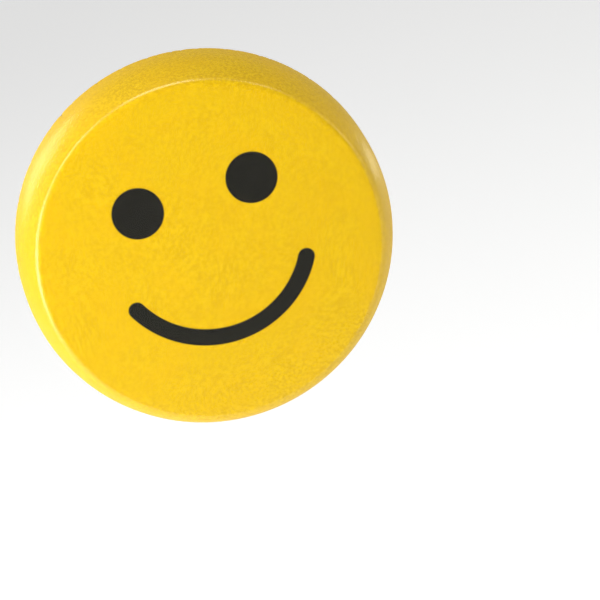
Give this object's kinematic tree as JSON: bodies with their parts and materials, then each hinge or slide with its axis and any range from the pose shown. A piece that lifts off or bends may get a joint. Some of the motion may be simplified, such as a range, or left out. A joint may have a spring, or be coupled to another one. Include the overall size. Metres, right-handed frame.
{
  "type": "button badge",
  "caption": "Round pin-back button badge: clear film and printed paper over a domed steel shell, a dished steel back plate, and a coiled spring wire pin that swings out of a hook.",
  "frame": {"origin": "centre of the back rim, in the plane where it lies on the cloth", "axes": "+Y out of the back, towards the wearer's cloth, so the picture faces -Y. +Z is the picture's top. +X runs along the closed pin from its coil to its point"},
  "size_m": [0.0254, 0.0062, 0.0254],
  "materials": {
    "film": "clear gloss polyester film",
    "paper": null,
    "shell_tinplate": "bright tinplate",
    "plate_tinplate": "bright tinplate, with a matte grain on the flat disc",
    "spring_wire": "bright nickel-plated spring wire"
  },
  "bodies": {
    "badge_body": {"clear_film": "film", "printed_paper": "paper", "front_shell": "shell_tinplate", "back_plate": "plate_tinplate", "pin_anchor": "spring_wire", "pin_coil": "spring_wire"},
    "pin": {"pin_arm": "spring_wire"}
  },
  "joints": [
    {"name": "pin_swing", "type": "hinge", "parent": "badge_body", "child": "pin", "pos_m": [-0.00669, -0.002, 0.0004], "axis": [0, 0.3305, 0.9438], "range_deg": [0, 50], "stiffness_Nm_per_rad": 0.0001, "springref_deg": -5.73, "deforming": ["pin_coil"]}
  ]
}
